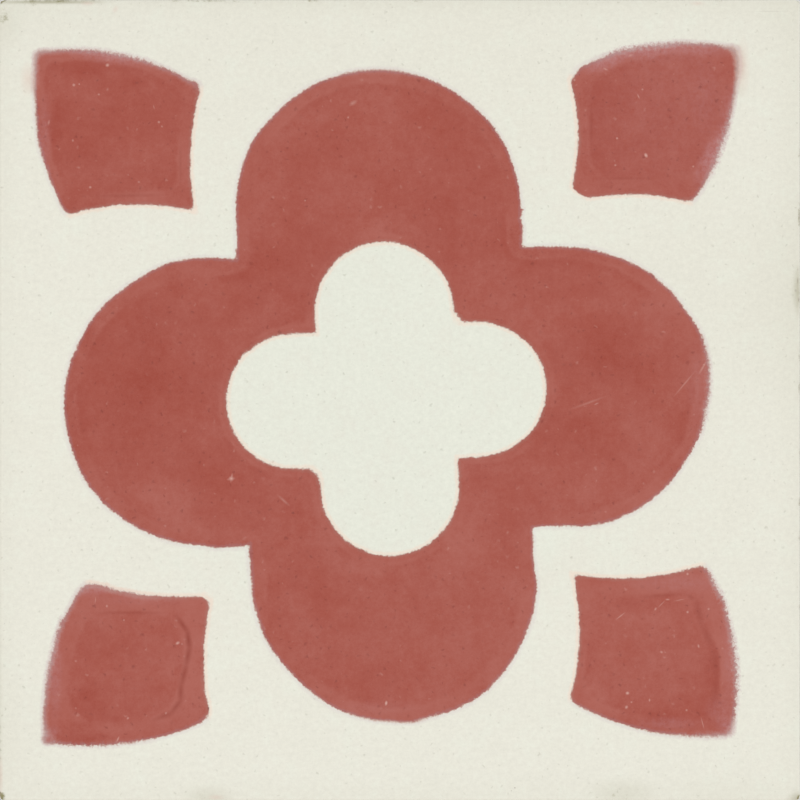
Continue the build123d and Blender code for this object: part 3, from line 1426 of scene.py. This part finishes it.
    def mark_face(self, bm: bmesh.types.BMesh, flecks: dict[Mark, list[Oval]]) -> dict[Mark, list[str]]:
        """Paints the small marks on the corners of the face's cells, at most one to a cell in each layer.

        Args:
            bm: The mesh.
            flecks: The small marks, for each kind.

        Returns:
            The names of the painted layers, for each kind of mark.
        """
        rows: dict[int, list] = {}
        for cell in bm.faces:
            if cell.material_index == Finish.FACE.value:
                middle = cell.calc_center_median()
                rows.setdefault(round(middle.y), []).append((cell, (middle.x, middle.y)))
        names: dict[Mark, list[str]] = {}
        for mark, ovals in flecks.items():
            coats = self.spread(ovals, rows)
            names[mark] = [f"{mark.value}_{number}" for number in range(len(coats))]
            for name, coat in zip(names[mark], coats):
                layer = bm.loops.layers.float_vector.new(name)
                for cell, oval in coat.items():
                    for loop in cell.loops:
                        loop[layer] = oval.paint((loop.vert.co.x, loop.vert.co.y))
            LOG.info("pressed_tile: %d %s marks in %d layers", len(ovals), mark.value, len(coats))
        return names

    def spread(self, ovals: list[Oval], rows: dict[int, list]) -> list[dict]:
        """Spreads marks over as few coats as they need, so that no two in a coat touch the same cell.

        Args:
            ovals: The marks.
            rows: The face's cells with their middles, by their height up it.

        Returns:
            The coats: for each cell that a mark touches, the mark.
        """
        coats: list[dict] = []
        for oval in ovals:
            near = oval.near(rows)
            cells = {cell: oval for cell, middle in near if oval.touches(middle, self.cell_reach)}
            free = next((coat for coat in coats if coat.keys().isdisjoint(cells)), None)
            if free is None:
                free = {}
                coats.append(free)
            free.update(cells)
        return coats

    def unfold(self, bm: bmesh.types.BMesh) -> None:
        """Lays out the map that the finished colours are kept on: a large face, four flanks, the underside.

        Args:
            bm: The mesh.
        """
        gap, face_share, flank_length, flank_height, bed_share = 0.006, 0.75, 0.56, 0.11, 0.225
        edge = face_share + 2 * gap
        uv = bm.loops.layers.uv.new("OFBake")
        for face in bm.faces:
            normal = face.normal
            for loop in face.loops:
                x = loop.vert.co.x / self.side + 0.5
                y = loop.vert.co.y / self.side + 0.5
                z = loop.vert.co.z / self.thickness
                if face.material_index == Finish.FACE.value:
                    spot = (gap + x * face_share, gap + y * face_share)
                elif face.material_index == Finish.BED.value:
                    spot = (edge + x * bed_share, edge + y * bed_share)
                elif abs(normal.y) > abs(normal.x):
                    row = 0 if normal.y > 0 else 1
                    spot = (gap + x * flank_length, edge + row * (flank_height + gap) + z * flank_height)
                else:
                    row = 0 if normal.x > 0 else 1
                    spot = (edge + row * (flank_height + gap) + z * flank_height, gap + y * flank_length)
                loop[uv].uv = spot


@dataclass(frozen=True)
class Studio:
    """The plain pale floor, the soft light and the camera that looks straight down."""

    lens: float = 180.0
    sensor: float = 36.0
    sky_strength: float = 0.777
    lamp_power: float = 9.75
    lamp_size: float = 1.4
    lamp_place: tuple[float, float, float] = (0.1, -0.25, 1.95)
    view_width: float = 81.86
    view_shift: float = 0.03
    floor_size: float = 4.0
    floor_cells: int = 8
    floor_dark: Colour = pigment(226, 225, 222)
    floor_light: Colour = pigment(232, 231, 228)
    floor_clouds: Clouds = Clouds(240.0, 3.0, 0.6)
    floor_rise: Span = (-0.3, 0.3)
    floor_dullness: float = 0.8

    def build(self, face_level: float) -> None:
        """Makes the floor, the lights and the camera.

        Args:
            face_level: The height of the tile's face, in millimetres.
        """
        self.lay_floor()
        self.light()
        self.aim_camera(face_level)

    def lay_floor(self) -> None:
        """Lays the floor that the tile lies on."""
        bm = bmesh.new()
        cells = self.floor_cells
        bmesh.ops.create_grid(bm, x_segments=cells, y_segments=cells, size=self.floor_size / 2)
        mesh = bpy.data.meshes.new("floor")
        bm.to_mesh(mesh)
        bm.free()
        floor = new_object("floor", mesh)
        material, graph, shader = new_material("pale_floor")
        mottle = graph.noise(graph.object_point(), self.floor_clouds)
        shade = graph.blend(graph.ramp(mottle, *self.floor_rise), self.floor_dark, self.floor_light)
        graph.feed(shader["Base Color"], shade)
        graph.feed(shader["Roughness"], self.floor_dullness)
        mesh.materials.append(material)

    def light(self) -> None:
        """Sets the even sky and one large soft lamp nearly above the tile."""
        world = bpy.data.worlds.new("studio")
        bpy.context.scene.world = world
        world.use_nodes = True
        background = world.node_tree.nodes["Background"]
        background.inputs["Color"].default_value = (1.0, 1.0, 1.0, 1.0)
        background.inputs["Strength"].default_value = self.sky_strength
        lamp = bpy.data.lights.new("soft_lamp", "AREA")
        lamp.energy = self.lamp_power
        lamp.size = self.lamp_size
        holder = new_object("soft_lamp", lamp)
        holder.location = self.lamp_place
        holder.rotation_euler = Vector(self.lamp_place).to_track_quat("Z", "Y").to_euler()

    def aim_camera(self, face_level: float) -> None:
        """Hangs the camera over the tile, so that the face just fills the picture.

        Args:
            face_level: The height of the tile's face, in millimetres.
        """
        camera = bpy.data.cameras.new("camera")
        camera.lens = self.lens
        camera.sensor_width = self.sensor
        holder = new_object("camera", camera)
        distance = self.view_width * self.lens / self.sensor
        place = (self.view_shift, self.view_shift, face_level + distance)
        holder.location = Vector(place) * MM
        bpy.context.scene.camera = holder


def face_stains() -> dict[Layer, list[Oval]]:
    """Lists the soft areas that the real face shows, as they were placed.

    Each row gives the pixel across and down, the half sizes in pixels, the strength, and the turn in degrees
    where the area is turned.

    Returns:
        The stains, for each layer.
    """
    areas: dict[Layer, Rows] = {
        Layer.TONE: (
            (110, 729, 46, 9, 0.5), (120, 400, 210, 230, -0.2), (90, 110, 90, 80, -0.2),
            (82, 70, 36, 14, -0.5), (138, 83, 16, 9, -0.5), (58, 118, 10, 34, -0.4),
            (640, 560, 330, 300, 0.28), (655, 110, 130, 120, 0.1), (90, 738, 90, 22, -0.4),
            (610, 65, 60, 26, 0.35, 15), (330, 300, 90, 60, -0.2), (400, 700, 160, 120, 0.15),
            (60, 680, 36, 60, 0.3), (120, 600, 90, 50, 0.45), (197, 610, 26, 60, 0.4),
            (86, 695, 14, 10, -0.5), (120, 721, 14, 8, -0.4), (662, 715, 26, 12, -0.7),
            (710, 670, 12, 40, -0.35), (660, 723, 50, 12, -0.35), (670, 701, 45, 12, -0.25),
            (635, 606, 45, 14, -0.45), (610, 650, 25, 50, 0.2), (603, 130, 40, 80, -0.45),
            (185, 145, 14, 55, 0.35), (130, 202, 60, 9, 0.25), (172, 665, 14, 45, 0.4),
            (375, 230, 60, 16, 0.4), (378, 566, 60, 16, 0.35), (135, 395, 45, 75, -0.4),
            (260, 270, 45, 45, -0.35), (600, 690, 45, 50, 0.3), (118, 288, 60, 45, 0.5, 40),
            (680, 290, 60, 60, 0.5, -40), (612, 362, 70, 60, -0.55), (560, 440, 100, 55, -0.5),
            (72, 440, 30, 60, -0.35), (158, 502, 56, 34, 0.6, -40), (215, 532, 60, 16, 0.35, -8),
            (230, 470, 60, 40, -0.25), (285, 125, 56, 45, 0.4), (50, 190, 24, 50, 0.35),
            (330, 530, 40, 50, 0.35), (462, 540, 40, 50, 0.35), (520, 505, 45, 40, -0.4),
            (530, 600, 40, 60, 0.3),
        ),
        Layer.BLOOM: (
            (655, 110, 130, 120, 0.1), (704, 95, 22, 60, 0.12), (660, 57, 60, 10, 0.08),
            (718, 710, 18, 20, 0.22), (697, 390, 14, 70, 0.14), (375, 708, 70, 10, 0.1),
            (606, 62, 34, 11, 0.5, 22), (645, 50, 42, 13, 0.5, 6), (692, 48, 52, 12, 0.36, -4),
            (110, 56, 60, 11, 0.5, -8), (712, 155, 44, 14, 0.55, 62), (728, 110, 34, 11, 0.2, 80),
            (49, 735, 18, 10, 0.35, 40), (55, 670, 10, 70, 0.3), (92, 588, 30, 10, 0.45),
            (142, 600, 60, 8, 0.15), (680, 583, 70, 12, 0.2), (728, 650, 10, 80, 0.2),
            (668, 723, 46, 9, 0.26), (728, 728, 18, 14, 0.4, -40), (44, 140, 10, 60, 0.25),
        ),
        Layer.BLEED: (
            (36, 58, 26, 20, 0.45), (30, 82, 14, 22, 0.5), (38, 120, 14, 60, 0.1), (740, 58, 28, 32, 0.8),
            (742, 88, 20, 40, 0.5), (726, 140, 22, 70, 0.16), (650, 46, 110, 13, 0.17),
            (110, 55, 100, 13, 0.14, -10), (700, 733, 50, 12, 0.15), (715, 580, 24, 20, 0.06),
            (736, 650, 16, 100, 0.1), (44, 738, 16, 16, 0.25), (50, 665, 15, 100, 0.12),
            (115, 743, 70, 11, 0.06), (736, 732, 16, 18, 0.4), (400, 722, 120, 14, 0.12),
            (375, 72, 120, 14, 0.06), (708, 390, 16, 90, 0.12),
        ),
        Layer.CAST: (
            (118, 61, 100, 26, 0.33, -12), (188, 80, 26, 26, 0.2), (38, 62, 40, 46, 0.42),
            (645, 48, 110, 24, 0.56, 4), (735, 56, 34, 44, 0.12), (720, 146, 26, 80, 0.46, -14),
            (110, 593, 90, 22, 0.36, -6), (56, 662, 24, 100, 0.5, -10), (45, 738, 30, 28, 0.42),
            (118, 744, 70, 14, 0.12), (732, 655, 24, 90, 0.42, 6), (724, 731, 36, 22, 0.5),
            (668, 736, 40, 12, 0.12), (715, 588, 34, 30, 0.38), (708, 388, 18, 90, 0.3),
            (385, 72, 110, 16, 0.12),
        ),
        Layer.RIM: (
            (205, 660, 80, 120, 0.7), (145, 598, 110, 40, 0.3), (725, 640, 90, 120, 0.5),
            (650, 588, 110, 40, 0.35), (350, 690, 170, 80, 0.5), (345, 95, 150, 50, 0.35, 20),
            (110, 130, 130, 130, 0.15), (150, 300, 100, 40, 0.3, 35),
        ),
        Layer.FRAY: (
            (716, 592, 30, 44, 0.6), (734, 665, 18, 90, 0.7), (720, 148, 22, 70, 0.65),
            (635, 48, 100, 13, 0.75), (100, 744, 80, 12, 0.4), (112, 56, 90, 12, 0.35, -10),
            (705, 737, 50, 12, 0.3), (703, 400, 22, 110, 0.35), (58, 655, 22, 90, 0.35),
            (110, 590, 60, 12, 0.15), (470, 705, 60, 24, 0.15, 25), (40, 140, 14, 60, 0.12),
        ),
        Layer.CREEP: (
            (706, 352, 22, 66, 0.32), (600, 255, 75, 24, -0.3, -12), (500, 150, 24, 110, 0.1, 15),
            (190, 261, 70, 24, 0.45, 8), (82, 350, 20, 50, -0.1), (250, 150, 30, 60, 0.16),
            (650, 48, 110, 14, 0.08), (729, 108, 20, 80, 0.08), (59, 632, 14, 22, 0.14),
            (55, 741, 22, 12, 0.12), (729, 728, 16, 14, 0.12), (574, 693, 10, 18, 0.1),
            (41, 57, 16, 14, 0.15), (40, 143, 10, 20, 0.12), (426, 255, 44, 26, 0.08, -35),
            (410, 553, 34, 12, 0.08), (502, 327, 20, 10, 0.08), (693, 322, 16, 26, 0.1),
            (524, 232, 8, 16, 0.14), (228, 552, 40, 44, 0.32), (298, 680, 60, 24, -0.26, -45),
            (482, 696, 60, 24, 0.2, 35), (537, 552, 26, 40, -0.3), (556, 527, 46, 18, -0.28),
            (96, 490, 30, 50, 0.12, 50), (253, 595, 16, 40, 0.12), (412, 721, 24, 10, 0.22),
            (577, 172, 12, 30, 0.1), (612, 195, 30, 10, 0.1), (206, 708, 10, 16, 0.14),
            (44, 718, 12, 24, 0.12), (617, 52, 18, 12, 0.12), (664, 46, 18, 10, -0.12),
            (684, 463, 26, 40, -0.15), (457, 318, 9, 9, -0.25), (524, 211, 5, 5, 0.35),
            (60, 621, 5, 6, 0.3), (107.6, 585, 5, 4, 0.3), (46, 741, 10, 9, 0.5), (208, 597, 7, 7, -0.25),
            (574, 74, 10, 8, -0.3), (197, 82, 9, 7, 0.2), (36, 108, 8, 24, -0.12),
            (658, 284, 16, 20, -0.12), (572, 203, 17, 17, -1.3), (735, 64, 16, 34, 0.24),
            (714, 166, 14, 24, 0.12), (724, 602, 14, 20, 0.2), (515, 333, 20, 14, 0.08),
            (515, 448, 40, 14, 0.08, 20), (240, 355, 14, 26, -0.12),
        ),
        # Darkening towards the edges and corners: partly dirt, partly painted shade.
        Layer.DARKENING: (
            (400, -40, 900, 330, 0.028), (40, 20, 110, 60, 0.012), (770, 20, 130, 80, 0.018),
            (800, 470, 300, 520, 0.013), (801, 400, 6, 520, 0.035), (738, 91, 10, 8, 0.07),
            (400, 0, 660, 12, 0.03), (800, 190, 60, 320, 0.02), (800, 300, 95, 150, 0.045),
            (690, 290, 130, 150, 0.02), (6, 22, 30, 36, 0.07), (790, 10, 50, 36, 0.03),
            (0, 740, 80, 110, 0.025), (0, 700, 5, 140, 0.05), (740, 800, 120, 50, 0.025),
            (622, 794, 44, 22, 0.12), (208, 797, 32, 16, 0.13), (801, 290, 12, 34, 0.4),
            (330, 280, 90, 60, 0.006), (50, 2.2, 75, 3.2, 0.5), (801, 801, 18, 14, 0.5),
        ),
        Layer.GRIME: (
            (0, 0, 7, 7, 1.0), (55, 1, 85, 2.2, 0.5), (200, 1.5, 90, 1.8, 0.4), (4, 18, 11, 15, 0.38),
            (32, 4, 12, 5, 0.3), (59, 5, 9, 5, 0.3), (312, 1, 12, 4, 0.4), (420, 1, 14, 4, 0.4),
            (717, 1, 16, 4, 0.35), (800, 0, 5, 5, 0.9), (799, 152, 3, 16, 0.35), (799, 216, 3.5, 28, 0.45),
            (799, 296, 4, 16, 0.35), (799, 357, 3, 9, 0.4), (799, 387, 3, 18, 0.4), (799, 453, 3, 11, 0.4),
            (799, 502, 3, 8, 0.4), (799, 536, 3, 8, 0.4), (799, 607, 3, 6, 0.4), (800, 798, 6, 7, 1.1),
            (0, 797, 7, 10, 1.1), (0, 740, 4, 60, 0.25), (620, 797, 24, 8, 0.22), (200, 797, 14, 5, 0.25),
        ),
    }
    return {layer: [Oval.of_pixels(*row) for row in rows] for layer, rows in areas.items()}


def face_flecks() -> dict[Mark, list[Oval]]:
    """Lists the small marks that the real face shows, as they were placed.

    Each row gives the pixel across and down, the half sizes in millimetres, the strength, and the turn in
    degrees where the mark is turned.

    Returns:
        The small marks, for each kind.
    """
    marks: dict[Mark, Rows] = {
        Mark.LIME: (
            (107.6, 65.8, 0.25, 0.22, 0.58, 20), (74, 85.6, 0.2, 0.19, 0.47),
            (79.4, 84.7, 0.11, 0.12, 0.47), (99, 95, 0.16, 0.14, 0.35), (73, 141, 0.18, 0.14, 0.35, 90),
            (159, 122.6, 0.18, 0.17, 0.43), (162, 127, 0.15, 0.12, 0.31, -60),
            (154, 107.6, 0.3, 0.08, 0.27, -75), (49, 123, 0.34, 0.14, 0.31, 80),
            (90.4, 187.7, 0.18, 0.17, 0.43), (139, 182.5, 0.16, 0.14, 0.31),
            (645.5, 155.8, 0.3, 0.2, 0.74, -60), (616.6, 138.8, 0.16, 0.16, 0.47),
            (614.9, 165.7, 0.15, 0.14, 0.39), (692.7, 167, 0.15, 0.14, 0.39),
            (605, 69.7, 0.32, 0.12, 0.35, -25), (638, 97, 0.34, 0.1, 0.39, -65),
            (642, 90, 0.15, 0.14, 0.35), (630, 56, 0.3, 0.17, 0.31, 20), (574, 80.6, 0.16, 0.16, 0.39),
            (177.7, 643, 0.28, 0.19, 0.58, 30), (182, 644, 0.11, 0.12, 0.31), (124, 620, 0.15, 0.14, 0.31),
            (95.6, 600, 0.4, 0.08, 0.27, 85), (107, 606, 0.18, 0.14, 0.39, 90),
            (128, 718, 0.18, 0.14, 0.43, 50), (166, 713, 0.18, 0.13, 0.35, 60),
            (118, 739, 0.4, 0.11, 0.47, 65), (76, 661, 0.18, 0.13, 0.27), (76, 708, 0.14, 0.14, 0.23),
            (620, 616, 0.75, 0.08, 0.39, 38), (655, 609, 0.23, 0.14, 0.39, 60),
            (661, 604, 0.6, 0.08, 0.31, 45), (667, 599.5, 0.28, 0.12, 0.43),
            (679, 600, 0.75, 0.07, 0.27, 12), (702, 723, 0.8, 0.08, 0.31, -75),
            (687, 574, 0.16, 0.16, 0.51), (687, 612, 0.16, 0.16, 0.47), (708, 609, 0.16, 0.14, 0.39),
            (698, 646, 0.25, 0.14, 0.43, -80), (661, 652, 0.21, 0.16, 0.39, -30),
            (627, 693, 0.23, 0.2, 0.66), (626, 707, 0.23, 0.19, 0.55, 50), (631, 702, 0.14, 0.12, 0.39),
            (649, 700, 0.21, 0.12, 0.43, 85), (686, 710, 0.16, 0.16, 0.39), (231, 479, 0.5, 0.17, 0.43, 10),
            (231.5, 478, 0.55, 0.14, 0.47, 80), (231.3, 478.7, 0.31, 0.29, 0.66),
            (353, 103.5, 0.55, 0.29, 0.27, 32), (348, 118, 0.16, 0.12, 0.39, 80),
            (305, 201, 0.11, 0.12, 0.39), (588, 403, 2.2, 0.17, 0.17, 20), (596, 404, 0.35, 0.11, 0.31, 25),
            (684, 384, 1.9, 0.12, 0.24, 50), (702, 368, 0.9, 0.15, 0.3, 60), (703.5, 365, 0.16, 0.14, 0.5),
            (386, 703, 0.3, 0.17, 0.74, 80), (283.5, 500.5, 0.95, 0.18, 0.23, -42),
        ),
        Mark.CHAR: (
            (97.6, 81, 0.2, 0.12, 0.4, 40), (137, 83.5, 0.3, 0.18, 0.3), (79.7, 157, 0.18, 0.16, 0.35),
            (132, 179, 0.14, 0.14, 0.4), (121, 183, 0.18, 0.12, 0.3), (168, 144.7, 0.12, 0.12, 0.3),
            (606, 103, 0.16, 0.1, 0.5), (641, 169.6, 0.14, 0.14, 0.3), (594, 150, 0.12, 0.12, 0.35),
            (208.4, 708, 0.24, 0.1, 0.75, 80), (80, 690, 0.2, 0.14, 0.25, 40),
            (588, 644.5, 0.14, 0.14, 0.4), (580, 633, 0.1, 0.12, 0.4, 90), (732, 636, 0.16, 0.12, 0.5),
            (206, 285, 0.15, 0.12, 0.5), (281, 152, 0.15, 0.12, 0.4), (280, 626, 0.18, 0.14, 0.4, -60),
            (336, 681, 0.2, 0.14, 0.4, 60), (583, 331, 0.14, 0.12, 0.35), (599, 277, 0.13, 0.11, 0.35),
            (293, 513, 0.22, 0.17, 0.5), (271, 485, 0.25, 0.11, 0.3, 20), (514.5, 787.5, 0.13, 0.11, 0.5),
            (511, 790.5, 0.1, 0.08, 0.35), (392, 8, 0.12, 0.12, 0.2), (373, 15, 0.12, 0.1, 0.18),
            (62, 371, 0.15, 0.12, 0.2), (2, 188, 0.28, 0.14, 0.25), (769, 12, 2.3, 0.06, 0.14),
            (658.5, 788, 0.12, 0.12, 0.2), (733, 753, 0.14, 0.12, 0.2), (70, 25, 0.16, 0.1, 0.16, 60),
            (54, 41, 0.14, 0.1, 0.16, 60), (198, 72, 0.14, 0.1, 0.2, 30), (797, 281, 0.4, 0.13, 0.3, 90),
            (795, 291, 0.22, 0.16, 0.25, 90), (798, 300, 0.35, 0.12, 0.32, 90),
            (797, 270, 0.2, 0.12, 0.18, 90), (798, 216, 0.3, 0.12, 0.2, 90),
        ),
        # Fold lines: partly the cement's own darker line, partly painted shade of the folds' ridges.
        Mark.SEAM: (
            (183, 625, 1.5, 0.4, 0.8, -54), (188.5, 640, 1.6, 0.42, 0.9, -83),
            (188, 655.5, 1.8, 0.42, 0.8, 79), (184, 674.5, 2.2, 0.42, 0.7, 76),
            (180.8, 692, 2.0, 0.42, 0.7, 87), (176.5, 706, 1.6, 0.4, 0.7, 53),
            (165, 715.5, 1.6, 0.38, 0.55, 20), (130, 612.7, 4.4, 0.25, 0.4), (662, 595.5, 2.6, 0.3, 0.4, 4),
            (690, 597, 0.7, 0.3, 0.45, -33), (698.5, 613, 1.8, 0.5, 0.42, -75),
            (707, 636.5, 1.9, 0.55, 0.42, -66), (714.3, 661.5, 2.2, 0.55, 0.38, -83),
            (714.7, 689, 2.1, 0.5, 0.34, 85), (591, 126, 2.6, 0.22, 0.35, 90), (625, 179, 2.8, 0.22, 0.3),
            (180.5, 165, 3.1, 0.22, 0.3, 90), (128, 196, 4.5, 0.25, 0.35, 1),
        ),
        Mark.ROSE: (
            (742, 68, 3.4, 0.85, 0.42, 90), (28, 80, 2.0, 0.9, 0.45, 90), (88, 4, 0.9, 0.3, 0.4),
            (115.5, 10, 0.5, 0.35, 0.35, 60), (697, 4, 0.9, 0.3, 0.35), (1, 776, 2.6, 0.28, 0.45, 90),
            (216, 797, 1.0, 0.35, 0.4),
        ),
    }
    return {mark: [Oval(*row) for row in rows] for mark, rows in marks.items()}


def main() -> None:
    """Loads the frame, builds the tile and the studio, and reports each piece."""
    logging.basicConfig(level=logging.INFO, format="%(name)s: %(message)s")
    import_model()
    low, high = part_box("tile")
    studio = Studio()
    studio.build(high.z / MM)
    LOG.info("studio: floor, lamp and camera are in place")
    side = min(FACE_WIDTH, (high.x - low.x) / MM)
    tile = PressedTile(side=side, thickness=high.z / MM).build(Effects())
    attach(tile, "root")
    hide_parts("tile")
    LOG.info("pressed_tile: dressed, over a packed body %.3f mm wide", (high.x - low.x) / MM)
    bpy.context.scene.view_settings.view_transform = "Standard"


if __name__ == "__main__":
    main()
